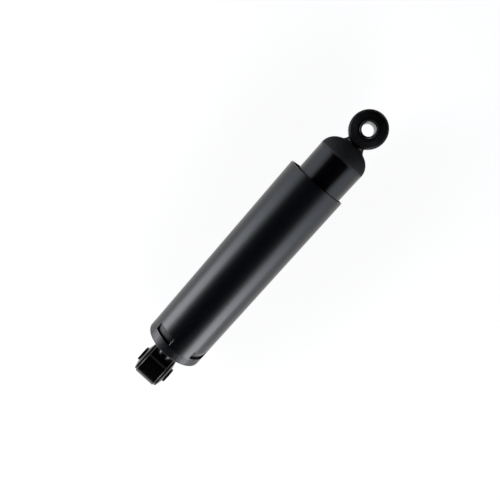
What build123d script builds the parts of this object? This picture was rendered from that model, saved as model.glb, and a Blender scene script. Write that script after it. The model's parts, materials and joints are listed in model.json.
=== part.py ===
from build123d import *
import os
from math import atan2, cos, pi, radians, sin

# Telescopic shock absorber with two eyes and a dust cover, in millimetres.
# X runs along the damper from the body eye to the rod eye, so pulling it out is +X.
# The origin is the middle of the body eye's bore, whose axis is Z. The rod eye's bore is along Y.

# Travel from the drawn position, and what is left over at both ends of it
BUMP_TRAVEL = 10.0
REBOUND_TRAVEL = 160.0
STOP_GAP = 1.0
FOOT_GAP = 7.0

# Clearances
PRESS_FIT = 0.05
RUNNING_FIT = 0.05
FREE_GAP = 0.35
LOOSE_FIT = 0.3
SPRING_TIP_GAP = 0.02

# Eye rings, each a short piece of tube
RING_OD = 40.2
RING_WALL = 4.0
RING_WIDTH = 26.5
RING_CHAMFER = 0.8

# Rubber bushes with a flange over each end of the ring
BUSH_WIDTH = 35.5
FLANGE_OD = 37.0
FLANGE_FACE_OD = 22.0
FLANGE_CHAMFER = 2.7
BUSH_EDGE_ROUND = 0.6

# Steel sleeves that a mounting bolt is clamped in
SLEEVE_OD = 18.0
SLEEVE_BORE = 14.2
SLEEVE_LENGTH = 41.0
SLEEVE_CHAMFER = 0.4

# Reserve tube and the domed cap of its closed end
RESERVE_OD = 55.0
RESERVE_WALL = 2.0
DOME_HEIGHT = 20.2
DOME_KNUCKLE = 14.0
DOME_WALL = 2.5
JOGGLE_LENGTH = 3.0
JOGGLE_RUN = 1.0
CAP_SPIGOT_LENGTH = 8.0
SEAM_CHAMFER = 0.4
TUBE_LIP_BORE = 40.0
TUBE_LIP_ROUND = 2.5
ROUND_LIMIT = 0.95

# Weld bead between dome and eye ring
EYE_WELD_OD = 21.6
EYE_WELD_FLARE = 3.0
EYE_WELD_WAIST = 0.25

# Pressure tube inside the reserve tube
PRESSURE_OD = 39.0
PRESSURE_WALL = 1.5
PRESSURE_START = 3.6

# Foot valve at the bottom of the pressure tube
FOOT_DISC = 7.0
FOOT_SPIGOT = 3.0
FOOT_SKIRT_WALL = 4.0
FOOT_ARCHES = 6
FOOT_ARCH_WIDTH = 8.0
FOOT_ARCH_TOP_WALL = 3.0
FOOT_BOLT_D = 6.0
FOOT_HEX = 10.0
FOOT_HEAD_HEIGHT = 4.0
FOOT_NUT_HEIGHT = 5.0
FOOT_PLATE_OD = 33.6
FOOT_INTAKE_HOLES = 12
FOOT_INTAKE_HOLE_D = 3.5
FOOT_INTAKE_CIRCLE_D = 28.0
FOOT_BLEED_HOLES = 6
FOOT_BLEED_HOLE_D = 2.6
FOOT_BLEED_CIRCLE_D = 16.0
FOOT_SPACER_OD = 10.0
FOOT_SHIM_DIAMETERS = (20.0, 20.0, 16.0, 13.0)
FOOT_WASHER_OD = 11.0
FOOT_WASHER = 1.5

# Both check valves
PLATE = 1.0
SPACER_HEIGHT = 3.0
SPRING_LEAF = 0.5
SPRING_FINGERS = 6
SPRING_FINGER_WIDTH = 3.2
PLATE_WINDOW_EXTRA = 0.8
SHIM = 0.3
STUD_END = 1.0

# Piston rod
ROD_D = 14.0
STUD_D = 10.0
STUD_CHAMFER = 1.0

# Piston, with its band in a groove
PISTON_LENGTH = 16.0
BAND_GROOVE_WIDTH = 8.0
BAND_GROOVE_DEPTH = 1.5
PISTON_PORTS = 8
PISTON_PORT_D = 4.0
PISTON_PORT_CIRCLE_D = 25.6
PISTON_BLEEDS = 6
PISTON_BLEED_D = 2.6
PISTON_BLEED_CIRCLE_D = 17.2
PISTON_PLATE_OD = 31.0
PISTON_SPACER_OD = 12.4
PISTON_SHIM_DIAMETERS = (21.0, 21.0, 21.0, 17.0, 14.0)
PISTON_WASHER_OD = 18.0
PISTON_WASHER = 2.0
PISTON_NUT_HEX = 17.0
PISTON_NUT_HEIGHT = 8.0
RETAINER_OD = 26.0
RETAINER = 1.5
REBOUND_STOP_OD = 24.0
REBOUND_STOP_LENGTH = 6.5

# Rod guide and seal
GUIDE_SPIGOT = 8.0
GUIDE_FLANGE = 10.0
GUIDE_BUSH_OD = 18.0
GUIDE_BUSH_LENGTH = 12.0
GUIDE_LIP = 1.0
GUIDE_DRAINS = 4
GUIDE_DRAIN_D = 3.0
SEAL_POCKET_D = 28.0
SEAL_POCKET_DEPTH = 5.0
SEAL_CAP = 4.0
SEAL_CAP_BORE = 20.0
GARTER_WIRE_D = 1.4
GARTER_CENTRE_D = 20.6
O_RING_WIRE_D = 2.4
O_RING_GROOVE = 1.25

# Section of the rod seal: oil lip, relief behind it, wiper lip and the groove round the oil lip
LIP_FLARE = 1.6
LIP_START = 0.9
LIP_END = 1.7
LIP_BACK = 0.6
RELIEF_DEPTH = 0.9
RELIEF_START = 3.0
WIPER_HEIGHT = 3.0
WIPER_EDGE = 0.8
WIPER_FLARE = 0.3
SEAL_GROOVE_DEPTH = 3.2
SEAL_JACKET = 2.0
SEAL_JACKET_TAPER = 0.4

# Dust cover, and the pressed cap that its tongues hold in place
COVER_OD = 69.5
COVER_WALL = 1.6
BARE_TUBE = 33.3
COVER_END_ROUND = 2.0
COVER_LIP = 4.5
TONGUES = 4
TONGUE_FIRST_DEG = 117.3
TONGUE_SWEEP_DEG = 40.0
TONGUE_SLIT_DEG = 1.6
TONGUE_TIP_INSET = 12.6
TONGUE_LENGTH = 9.0
TONGUE_END_SLIT = 0.8
TONGUE_BEND = 2.4
CAP_PLATE = 2.5
CAP_WALL = 2.0
CAP_ROUND = 2.0
# The cap stands a little out of square on the rod, which shows at the cover's open end
COVER_LEAN_DEG = 0.75

# Rod boss between cap and eye ring, with its weld beads
BOSS_OD = 20.4
EYE_STANDOFF = 35.0
CAP_WELD_LEG = 2.4
ROD_WELD_LEG = 2.2
BEAD_WAIST = 0.38

# Rubber bump stop round the rod, under the cap
BUMP_STOP_OD = 34.0
BUMP_STOP_LENGTH = 10.5
BUMP_STOP_WAIST = 3.0
BUMP_STOP_NOSE = 0.2
BUMP_STOP_GROOVE = 0.125

# Smallest difference that tells one edge from another
EDGE_TOLERANCE = 0.01

# Radii and stations that follow from the sizes above
ring_r = RING_OD / 2
ring_bore_r = ring_r - RING_WALL
reserve_r = RESERVE_OD / 2
reserve_bore_r = reserve_r - RESERVE_WALL
pressure_r = PRESSURE_OD / 2
pressure_bore_r = pressure_r - PRESSURE_WALL
cover_r = COVER_OD / 2
cover_bore_r = cover_r - COVER_WALL
cover_lip_r = cover_r - COVER_LIP
rod_r = ROD_D / 2
stud_r = STUD_D / 2
dome_apex_x = ring_r
dome_edge_x = dome_apex_x + DOME_HEIGHT
pressure_start_x = dome_edge_x + PRESSURE_START
foot_seat_x = pressure_start_x + FOOT_SPIGOT
foot_disc_x = foot_seat_x - FOOT_DISC
foot_head_x = foot_seat_x + SPACER_HEIGHT + SPRING_LEAF
foot_stack_x = foot_disc_x - SHIM * len(FOOT_SHIM_DIAMETERS)
stud_end_x = foot_head_x + FOOT_HEAD_HEIGHT + FOOT_GAP + BUMP_TRAVEL
piston_washer_x = stud_end_x + STUD_END + PISTON_NUT_HEIGHT
piston_shims_x = piston_washer_x + PISTON_WASHER
piston_start_x = piston_shims_x + SHIM * len(PISTON_SHIM_DIAMETERS)
piston_end_x = piston_start_x + PISTON_LENGTH
rod_shoulder_x = piston_end_x + SPACER_HEIGHT + SPRING_LEAF + RETAINER
rebound_stop_x = rod_shoulder_x + REBOUND_STOP_LENGTH
guide_start_x = rebound_stop_x + REBOUND_TRAVEL + STOP_GAP / 2
guide_shoulder_x = guide_start_x + GUIDE_SPIGOT
guide_end_x = guide_shoulder_x + GUIDE_FLANGE
seal_pocket_x = guide_end_x - SEAL_POCKET_DEPTH
tube_lip_x = guide_end_x + SEAL_CAP
tube_end_x = tube_lip_x + RESERVE_WALL
bump_stop_x = tube_end_x + BUMP_TRAVEL + STOP_GAP
cap_inner_x = bump_stop_x + BUMP_STOP_LENGTH
cap_outer_x = cap_inner_x + CAP_PLATE
cover_open_x = dome_edge_x + BARE_TUBE
cover_end_x = cap_outer_x + COVER_WALL
tongue_tip_x = cover_end_x - TONGUE_TIP_INSET
tongue_root_x = tongue_tip_x - TONGUE_LENGTH
rod_eye_x = cover_end_x + EYE_STANDOFF


def turned(*outline):
    """Solid of revolution about X, from corner points given as (x, radius)."""
    return revolve(make_face(Polyline(*outline, close=True)), Axis.X)


def tube(start, end, outer_r, inner_r):
    """Plain ring or disc with a hole, between two stations on X."""
    return turned((start, inner_r), (end, inner_r), (end, outer_r), (start, outer_r))


def rod(start, end, radius):
    """Plain round bar between two stations on X."""
    return turned((start, 0), (end, 0), (end, radius), (start, radius))


def hexagon(start, end, across_flats):
    """Hexagonal bar along X, with its corners turned off at both ends."""
    corner_r = across_flats / 2 / cos(radians(30))
    profile = Plane.YZ.offset(start) * RegularPolygon(corner_r, 6)
    bar = extrude(profile, amount=end - start, dir=(1, 0, 0))
    cut = corner_r - across_flats / 2
    lathe = turned(
        (start, 0),
        (start, across_flats / 2),
        (start + cut, corner_r),
        (end - cut, corner_r),
        (end, across_flats / 2),
        (end, 0),
    )
    return bar & lathe


def rims_of(rims, radius, past_x):
    """Round edges of one radius that lie further along X than a station."""
    return [rim for rim in rims if abs(rim.radius - radius) < EDGE_TOLERANCE and rim.center().X > past_x]


def around(piece, count, start_deg=0.0):
    """Copies of one piece, spaced evenly round the X axis."""
    return [Rot(start_deg + turn * 360.0 / count, 0, 0) * piece for turn in range(count)]


def drill(start, end, diameter, circle_d, count, start_deg=0.0):
    """Straight holes along X on a circle, as a list of cutting bars."""
    bar = Pos(0, circle_d / 2, 0) * rod(start, end, diameter / 2)
    return around(bar, count, start_deg)


def eye_ring_blank():
    """Eye ring with its bore along Z, centred on the origin."""
    half = RING_WIDTH / 2
    outline = Polyline(
        (ring_bore_r, -half),
        (ring_r - RING_CHAMFER, -half),
        (ring_r, -half + RING_CHAMFER),
        (ring_r, half - RING_CHAMFER),
        (ring_r - RING_CHAMFER, half),
        (ring_bore_r, half),
        close=True,
    )
    return revolve(make_face(Plane.XZ * outline), Axis.Z)


def eye_bush_blank():
    """Rubber bush: a barrel in the ring and a bevelled flange past each end of it."""
    inner_r = SLEEVE_OD / 2 + RUNNING_FIT
    barrel_r = ring_bore_r - PRESS_FIT
    ring_face = RING_WIDTH / 2 + PRESS_FIT
    face = BUSH_WIDTH / 2
    flange_r = FLANGE_OD / 2
    outline = Polyline(
        (inner_r, -face),
        (FLANGE_FACE_OD / 2, -face),
        (flange_r, -face + FLANGE_CHAMFER),
        (flange_r, -ring_face),
        (barrel_r, -ring_face),
        (barrel_r, ring_face),
        (flange_r, ring_face),
        (flange_r, face - FLANGE_CHAMFER),
        (FLANGE_FACE_OD / 2, face),
        (inner_r, face),
        close=True,
    )
    solid = revolve(make_face(Plane.XZ * outline), Axis.Z)
    rims = solid.edges().filter_by(GeomType.CIRCLE)
    bevels = [
        rim
        for rim in rims
        if abs(rim.radius - flange_r) < EDGE_TOLERANCE and abs(rim.center().Z) > ring_face + EDGE_TOLERANCE
    ]
    return fillet(bevels, BUSH_EDGE_ROUND)


def eye_sleeve_blank():
    """Steel sleeve, bevelled at both mouths and both outer edges."""
    half = SLEEVE_LENGTH / 2
    outer_r = SLEEVE_OD / 2
    bore_r = SLEEVE_BORE / 2
    outline = Polyline(
        (bore_r, -half + SLEEVE_CHAMFER),
        (bore_r + SLEEVE_CHAMFER, -half),
        (outer_r - SLEEVE_CHAMFER, -half),
        (outer_r, -half + SLEEVE_CHAMFER),
        (outer_r, half - SLEEVE_CHAMFER),
        (outer_r - SLEEVE_CHAMFER, half),
        (bore_r + SLEEVE_CHAMFER, half),
        (bore_r, half - SLEEVE_CHAMFER),
        close=True,
    )
    return revolve(make_face(Plane.XZ * outline), Axis.Z)


def at_rod_eye(piece):
    """Moves an eye piece to the rod end, with its bore along Y."""
    return Pos(rod_eye_x, 0, 0) * Rot(90, 0, 0) * piece


def ring_envelope():
    """The ring's outside as a full disc, for cutting what is welded to it."""
    return Cylinder(ring_r, RING_WIDTH)


def dome(edge_x, height, radius, knuckle):
    """Pressed tank end: a ball crown and a tighter knuckle that runs into the tube's side."""
    crown = (radius**2 + height**2 - 2 * radius * knuckle) / (2 * (height - knuckle))
    crown_x = edge_x - height + crown
    joint = atan2(radius - knuckle, crown_x - edge_x)
    joint_point = (crown_x - crown * cos(joint), crown * sin(joint))
    turn = (joint + pi / 2) / 2
    knuckle_point = (edge_x - knuckle * cos(turn), radius - knuckle + knuckle * sin(turn))
    crown_point = (crown_x - crown * cos(joint / 2), crown * sin(joint / 2))
    side = ThreePointArc((edge_x, radius), knuckle_point, joint_point)
    front = ThreePointArc(joint_point, crown_point, (edge_x - height, 0))
    back = Polyline((edge_x - height, 0), (edge_x, 0), (edge_x, radius))
    return revolve(make_face([side, front, back]), Axis.X)


def dome_cavity():
    """Room inside the base cap, which also gives the foot valve's feet their seat."""
    inner_centre_x = dome_edge_x - JOGGLE_LENGTH
    inner_r = reserve_r - DOME_WALL
    throat_r = reserve_bore_r - PRESS_FIT - DOME_WALL
    throat = turned(
        (inner_centre_x, 0),
        (inner_centre_x, inner_r),
        (dome_edge_x + JOGGLE_RUN, throat_r),
        (dome_edge_x + CAP_SPIGOT_LENGTH, throat_r),
        (dome_edge_x + CAP_SPIGOT_LENGTH, 0),
    )
    inner_height = DOME_HEIGHT - DOME_WALL - JOGGLE_LENGTH
    return dome(inner_centre_x, inner_height, inner_r, DOME_KNUCKLE - JOGGLE_LENGTH - DOME_WALL / 2) + throat


def base_cap():
    """Domed cap whose rim is joggled down to enter the reserve tube."""
    outside = dome(dome_edge_x, DOME_HEIGHT, reserve_r, DOME_KNUCKLE)
    spigot_x = dome_edge_x - JOGGLE_LENGTH
    spigot = rod(spigot_x, dome_edge_x + CAP_SPIGOT_LENGTH, reserve_bore_r - PRESS_FIT)
    return outside + spigot - dome_cavity()


def body_eye_weld():
    """Bead that fills the gap between the eye ring's round and the dome."""
    neck_r = EYE_WELD_OD / 2
    foot_r = neck_r + EYE_WELD_FLARE
    foot_x = dome_edge_x - DOME_HEIGHT * (1 - (foot_r / reserve_r) ** 2) ** 0.5
    middle = ((dome_apex_x + foot_x) / 2, neck_r + EYE_WELD_FLARE * EYE_WELD_WAIST)
    curve = ThreePointArc((dome_apex_x, neck_r), middle, (foot_x, foot_r))
    rest = Polyline(curve @ 1, (dome_edge_x, foot_r), (dome_edge_x, 0), (0, 0), (0, neck_r), curve @ 0)
    bead = revolve(make_face([curve, rest]), Axis.X)
    return bead - ring_envelope() - dome(dome_edge_x, DOME_HEIGHT, reserve_r, DOME_KNUCKLE)


def reserve_tube():
    """Outer tube, bevelled at the seam and rolled in over the seal cap."""
    body = turned(
        (dome_edge_x, reserve_bore_r),
        (dome_edge_x, reserve_r - SEAM_CHAMFER),
        (dome_edge_x + SEAM_CHAMFER, reserve_r),
        (tube_end_x, reserve_r),
        (tube_end_x, TUBE_LIP_BORE / 2),
        (tube_lip_x, TUBE_LIP_BORE / 2),
        (tube_lip_x, reserve_bore_r),
    )
    rims = body.edges().filter_by(GeomType.CIRCLE)
    corner = rims_of(rims, reserve_r, tube_lip_x)
    return fillet(corner, min(TUBE_LIP_ROUND, RESERVE_WALL * ROUND_LIMIT))


def pressure_tube():
    """Working cylinder, held between the foot valve and the rod guide."""
    return tube(pressure_start_x, guide_shoulder_x, pressure_r, pressure_bore_r)


def foot_valve_body():
    """Ported disc with a spigot in the pressure tube and arched feet on the dome."""
    disc = turned(
        (foot_disc_x, FOOT_BOLT_D / 2 + PRESS_FIT),
        (foot_disc_x, pressure_r),
        (pressure_start_x, pressure_r),
        (pressure_start_x, pressure_bore_r - PRESS_FIT),
        (foot_seat_x, pressure_bore_r - PRESS_FIT),
        (foot_seat_x, FOOT_BOLT_D / 2 + PRESS_FIT),
    )
    skirt = tube(dome_apex_x, foot_disc_x, pressure_r, pressure_r - FOOT_SKIRT_WALL)
    skirt = skirt & dome_cavity()
    arch_length = foot_disc_x - FOOT_ARCH_TOP_WALL - dome_apex_x
    arch = Box(arch_length, pressure_r, FOOT_ARCH_WIDTH, align=(Align.MIN, Align.MIN, Align.CENTER))
    arches = around(Pos(dome_apex_x, pressure_r / 2, 0) * arch, FOOT_ARCHES, 180.0 / FOOT_INTAKE_HOLES)
    intakes = drill(foot_disc_x, foot_seat_x, FOOT_INTAKE_HOLE_D, FOOT_INTAKE_CIRCLE_D, FOOT_INTAKE_HOLES)
    bleeds = drill(foot_disc_x, foot_seat_x, FOOT_BLEED_HOLE_D, FOOT_BLEED_CIRCLE_D, FOOT_BLEED_HOLES)
    return disc + (skirt - arches) - intakes - bleeds


def check_plate(seat_x, outer_d, spacer_d, window_d, circle_d, windows):
    """Flat check valve plate, with windows that leave the bleed ports open."""
    plate = tube(seat_x, seat_x + PLATE, outer_d / 2, spacer_d / 2 + LOOSE_FIT)
    return plate - drill(seat_x, seat_x + PLATE, window_d, circle_d, windows)


def star_spring(seat_x, bolt_r, spacer_d, outer_r):
    """Thin star whose fingers slope from the clamped hub down to the plate's rim."""
    hub_x = seat_x + SPACER_HEIGHT
    hub_r = spacer_d / 2 + LOOSE_FIT
    tip_x = seat_x + PLATE + SPRING_TIP_GAP
    hub = tube(hub_x, hub_x + SPRING_LEAF, hub_r, bolt_r + PRESS_FIT)
    cone = turned(
        (hub_x, hub_r),
        (hub_x + SPRING_LEAF, hub_r),
        (tip_x + SPRING_LEAF, outer_r),
        (tip_x, outer_r),
    )
    reach = hub_x + SPRING_LEAF - tip_x
    finger = Box(reach, outer_r, SPRING_FINGER_WIDTH, align=(Align.MIN, Align.MIN, Align.CENTER))
    fingers = around(Pos(tip_x, 0, 0) * finger, SPRING_FINGERS, 180.0 / SPRING_FINGERS)
    star = cone & (Part() + fingers)
    return hub + star


def foot_valve_plate():
    """Intake plate, which lifts to let oil back into the pressure tube."""
    window_d = FOOT_BLEED_HOLE_D + PLATE_WINDOW_EXTRA
    return check_plate(
        foot_seat_x, FOOT_PLATE_OD, FOOT_SPACER_OD, window_d, FOOT_BLEED_CIRCLE_D, FOOT_BLEED_HOLES
    )


def foot_valve_spring():
    """Star spring that holds the intake plate shut."""
    return star_spring(foot_seat_x, FOOT_BOLT_D / 2, FOOT_SPACER_OD, FOOT_INTAKE_CIRCLE_D / 2)


def foot_valve_spacer():
    """Spacer that the intake plate slides on."""
    return tube(foot_seat_x, foot_seat_x + SPACER_HEIGHT, FOOT_SPACER_OD / 2, FOOT_BOLT_D / 2 + PRESS_FIT)


def shim_stack(face_x, diameters, hole_r):
    """Thin round valve discs, one under the other, toward the body eye."""
    discs = []
    for place, diameter in enumerate(diameters):
        top_x = face_x - place * SHIM
        discs.append(tube(top_x - SHIM, top_x, diameter / 2, hole_r + PRESS_FIT).solid())
    return Compound(discs)


def foot_valve_shims():
    """Compression discs under the foot valve's bleed ports."""
    return shim_stack(foot_disc_x, FOOT_SHIM_DIAMETERS, FOOT_BOLT_D / 2)


def foot_valve_washer():
    """Backing washer under the compression discs."""
    return tube(foot_stack_x - FOOT_WASHER, foot_stack_x, FOOT_WASHER_OD / 2, FOOT_BOLT_D / 2 + PRESS_FIT)


def foot_valve_nut():
    """Nut that clamps the foot valve together."""
    top_x = foot_stack_x - FOOT_WASHER
    return hexagon(top_x - FOOT_NUT_HEIGHT, top_x, FOOT_HEX) - rod(0, top_x, FOOT_BOLT_D / 2 + PRESS_FIT)


def foot_valve_bolt():
    """Bolt through the foot valve, with its head above the star spring."""
    end_x = foot_stack_x - FOOT_WASHER - FOOT_NUT_HEIGHT - STUD_END
    shank = rod(end_x, foot_head_x, FOOT_BOLT_D / 2)
    return shank + hexagon(foot_head_x, foot_head_x + FOOT_HEAD_HEIGHT, FOOT_HEX)


def piston_rod():
    """Chromed rod, stepped down to a stud that carries the piston."""
    rod_end_x = rod_eye_x - ring_r - PRESS_FIT
    return turned(
        (stud_end_x, 0),
        (stud_end_x, stud_r - STUD_CHAMFER),
        (stud_end_x + STUD_CHAMFER, stud_r),
        (rod_shoulder_x, stud_r),
        (rod_shoulder_x, rod_r - STUD_CHAMFER / 2),
        (rod_shoulder_x + STUD_CHAMFER / 2, rod_r),
        (rod_end_x, rod_r),
        (rod_end_x, 0),
    )


def piston():
    """Sintered piston with a band groove, outer ports and inner bleed ports."""
    outer_r = pressure_bore_r - FREE_GAP
    groove_r = outer_r - BAND_GROOVE_DEPTH
    groove_start = piston_start_x + (PISTON_LENGTH - BAND_GROOVE_WIDTH) / 2
    groove_end = groove_start + BAND_GROOVE_WIDTH
    body = turned(
        (piston_start_x, stud_r + PRESS_FIT),
        (piston_start_x, outer_r),
        (groove_start, outer_r),
        (groove_start, groove_r),
        (groove_end, groove_r),
        (groove_end, outer_r),
        (piston_end_x, outer_r),
        (piston_end_x, stud_r + PRESS_FIT),
    )
    ports = drill(piston_start_x, piston_end_x, PISTON_PORT_D, PISTON_PORT_CIRCLE_D, PISTON_PORTS)
    bleeds = drill(piston_start_x, piston_end_x, PISTON_BLEED_D, PISTON_BLEED_CIRCLE_D, PISTON_BLEEDS)
    return body - ports - bleeds


def piston_band():
    """Low friction band that guides the piston in the pressure tube."""
    groove_r = pressure_bore_r - FREE_GAP - BAND_GROOVE_DEPTH
    groove_start = piston_start_x + (PISTON_LENGTH - BAND_GROOVE_WIDTH) / 2
    start_x = groove_start + LOOSE_FIT
    end_x = groove_start + BAND_GROOVE_WIDTH - LOOSE_FIT
    return tube(start_x, end_x, pressure_bore_r - RUNNING_FIT, groove_r + RUNNING_FIT)


def piston_valve_plate():
    """Check plate on the rod side of the piston."""
    window_d = PISTON_BLEED_D + PLATE_WINDOW_EXTRA
    return check_plate(
        piston_end_x, PISTON_PLATE_OD, PISTON_SPACER_OD, window_d, PISTON_BLEED_CIRCLE_D, PISTON_BLEEDS
    )


def piston_valve_spring():
    """Star spring that holds the piston's check plate shut."""
    return star_spring(piston_end_x, stud_r, PISTON_SPACER_OD, PISTON_PORT_CIRCLE_D / 2)


def piston_valve_spacer():
    """Spacer that the piston's check plate slides on."""
    return tube(piston_end_x, piston_end_x + SPACER_HEIGHT, PISTON_SPACER_OD / 2, stud_r + PRESS_FIT)


def valve_retainer():
    """Washer against the rod's shoulder, which backs the star spring."""
    return tube(rod_shoulder_x - RETAINER, rod_shoulder_x, RETAINER_OD / 2, stud_r + PRESS_FIT)


def piston_shims():
    """Rebound discs under the piston's bleed ports."""
    return shim_stack(piston_start_x, PISTON_SHIM_DIAMETERS, stud_r)


def piston_washer():
    """Backing washer under the rebound discs."""
    return tube(piston_washer_x, piston_shims_x, PISTON_WASHER_OD / 2, stud_r + PRESS_FIT)


def piston_nut():
    """Nut that holds the piston on the rod's stud."""
    nut = hexagon(piston_washer_x - PISTON_NUT_HEIGHT, piston_washer_x, PISTON_NUT_HEX)
    return nut - rod(0, piston_washer_x, stud_r + PRESS_FIT)


def rebound_stop():
    """Elastic ring on the rod that meets the guide at full stretch."""
    ring = tube(rod_shoulder_x, rebound_stop_x, REBOUND_STOP_OD / 2, rod_r + PRESS_FIT)
    rims = ring.edges().filter_by(GeomType.CIRCLE)
    return chamfer(rims_of(rims, REBOUND_STOP_OD / 2, 0), STUD_CHAMFER)


def rod_guide():
    """Guide with a spigot in the pressure tube and a flange in the reserve tube."""
    flange_r = reserve_bore_r - PRESS_FIT
    groove_r = reserve_bore_r - O_RING_WIRE_D - PRESS_FIT
    groove_start = guide_shoulder_x + GUIDE_FLANGE / 2
    groove_end = groove_start + O_RING_WIRE_D * O_RING_GROOVE
    body = turned(
        (guide_start_x, rod_r + FREE_GAP),
        (guide_start_x, pressure_bore_r - PRESS_FIT),
        (guide_shoulder_x, pressure_bore_r - PRESS_FIT),
        (guide_shoulder_x, flange_r),
        (groove_start, flange_r),
        (groove_start, groove_r),
        (groove_end, groove_r),
        (groove_end, flange_r),
        (guide_end_x, flange_r),
        (guide_end_x, SEAL_POCKET_D / 2),
        (seal_pocket_x, SEAL_POCKET_D / 2),
        (seal_pocket_x, GUIDE_BUSH_OD / 2),
        (guide_start_x + GUIDE_LIP, GUIDE_BUSH_OD / 2),
        (guide_start_x + GUIDE_LIP, rod_r + FREE_GAP),
    )
    drain_circle_d = pressure_r + groove_r
    first_deg = 180.0 / GUIDE_DRAINS
    drains = drill(guide_shoulder_x, guide_end_x, GUIDE_DRAIN_D, drain_circle_d, GUIDE_DRAINS, first_deg)
    return body - drains


def guide_bush():
    """Plain bearing bush that the rod slides in."""
    start_x = guide_start_x + GUIDE_LIP
    return tube(start_x, start_x + GUIDE_BUSH_LENGTH, GUIDE_BUSH_OD / 2 - PRESS_FIT, rod_r + RUNNING_FIT)


def guide_o_ring():
    """O-ring between the rod guide and the reserve tube."""
    wire_r = O_RING_WIRE_D / 2
    centre_r = reserve_bore_r - PRESS_FIT - wire_r
    centre_x = guide_shoulder_x + GUIDE_FLANGE / 2 + wire_r * O_RING_GROOVE
    section = Pos(centre_x, centre_r, 0) * Circle(wire_r - PRESS_FIT / 2)
    return revolve(section, Axis.X)


def rod_seal():
    """Moulded seal with an oil lip, a garter spring groove and a wiper lip."""
    lip_r = rod_r + RUNNING_FIT
    outer_r = SEAL_POCKET_D / 2 - PRESS_FIT
    neck_r = SEAL_CAP_BORE / 2 - 2 * RUNNING_FIT
    wiper_x = guide_end_x + WIPER_HEIGHT
    groove_x = seal_pocket_x + SEAL_GROOVE_DEPTH
    body = turned(
        (seal_pocket_x, lip_r + LIP_FLARE),
        (seal_pocket_x + LIP_START, lip_r),
        (seal_pocket_x + LIP_END, lip_r),
        (seal_pocket_x + RELIEF_START, lip_r + RELIEF_DEPTH),
        (guide_end_x, lip_r + RELIEF_DEPTH),
        (wiper_x - WIPER_EDGE, lip_r),
        (wiper_x, lip_r + WIPER_FLARE),
        (wiper_x, lip_r + WIPER_EDGE),
        (guide_end_x, neck_r),
        (guide_end_x, outer_r),
        (seal_pocket_x, outer_r),
        (seal_pocket_x, outer_r - SEAL_JACKET),
        (groove_x, outer_r - SEAL_JACKET - SEAL_JACKET_TAPER),
        (groove_x, GARTER_CENTRE_D / 2),
        (seal_pocket_x, GARTER_CENTRE_D / 2 - LIP_BACK),
    )
    return body - seal_garter_spring(PRESS_FIT)


def seal_garter_spring(growth=0.0):
    """Coiled wire ring that closes the oil lip on the rod, as a plain torus."""
    centre_x = seal_pocket_x + GARTER_WIRE_D
    section = Pos(centre_x, GARTER_CENTRE_D / 2, 0) * Circle(GARTER_WIRE_D / 2 + growth)
    return revolve(section, Axis.X)


def seal_cap():
    """Steel disc over the seal, clamped by the rolled end of the reserve tube."""
    return tube(guide_end_x, tube_lip_x, reserve_bore_r - PRESS_FIT, SEAL_CAP_BORE / 2)


def leaned(piece):
    """Turns a piece of the cover about the middle of its cap by the cover's lean."""
    pivot = Pos(cap_inner_x, 0, 0)
    return pivot * Rot(0, 0, COVER_LEAN_DEG) * pivot.inverse() * piece


def tongue_sector(outline, sweep_deg, middle_deg):
    """Part of a ring about X, swept evenly to both sides of an angle from +Y."""
    face = make_face(Polyline(*outline, close=True))
    return Rot(middle_deg - sweep_deg / 2, 0, 0) * revolve(face, Axis.X, sweep_deg)


def dust_cover():
    """Cover tube with a rolled end and tongues lanced inward behind the cap."""
    shell = turned(
        (cover_open_x, cover_bore_r),
        (cover_open_x, cover_r),
        (cover_end_x, cover_r),
        (cover_end_x, cover_lip_r),
        (cap_outer_x, cover_lip_r),
        (cap_outer_x, cover_bore_r),
    )
    rims = shell.edges().filter_by(GeomType.CIRCLE)
    shell = fillet(rims_of(rims, cover_r, cap_outer_x), COVER_END_ROUND)
    window = (
        (tongue_root_x, cover_bore_r - COVER_WALL),
        (tongue_root_x, cover_r + COVER_WALL),
        (tongue_tip_x + TONGUE_END_SLIT, cover_r + COVER_WALL),
        (tongue_tip_x + TONGUE_END_SLIT, cover_bore_r - COVER_WALL),
    )
    tongue = (
        (tongue_root_x, cover_bore_r),
        (tongue_root_x, cover_r),
        (tongue_tip_x, cover_r - TONGUE_BEND),
        (tongue_tip_x, cover_bore_r - TONGUE_BEND),
    )
    for place in range(TONGUES):
        middle = TONGUE_FIRST_DEG + place * 360.0 / TONGUES
        shell = shell - tongue_sector(window, TONGUE_SWEEP_DEG + 2 * TONGUE_SLIT_DEG, middle)
        shell = shell + tongue_sector(tongue, TONGUE_SWEEP_DEG, middle)
    return leaned(shell)


def cover_cap():
    """Pressed cup welded to the rod boss; its skirt ends against the tongues."""
    outer_r = cover_bore_r - PRESS_FIT
    skirt_end_x = tongue_tip_x + TONGUE_END_SLIT
    cup = turned(
        (skirt_end_x, outer_r - CAP_WALL),
        (skirt_end_x, outer_r),
        (cap_outer_x, outer_r),
        (cap_outer_x, rod_r + LOOSE_FIT),
        (cap_inner_x, rod_r + LOOSE_FIT),
        (cap_inner_x, outer_r - CAP_WALL),
    )
    rims = cup.edges().filter_by(GeomType.CIRCLE)
    return leaned(fillet(rims_of(rims, outer_r, cap_inner_x), CAP_ROUND))


def rod_ring_envelope():
    """Outside of the rod eye's ring as a full disc."""
    return at_rod_eye(ring_envelope())


def rod_boss():
    """Collar round the rod's end, shaped to the ring and standing on the cap."""
    collar = tube(cap_inner_x, rod_eye_x, BOSS_OD / 2, rod_r + PRESS_FIT)
    past_cap = collar - rod_ring_envelope() - leaned(rod(0, cap_outer_x, cover_r))
    return past_cap.solids().sort_by(Axis.X)[0]


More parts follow.
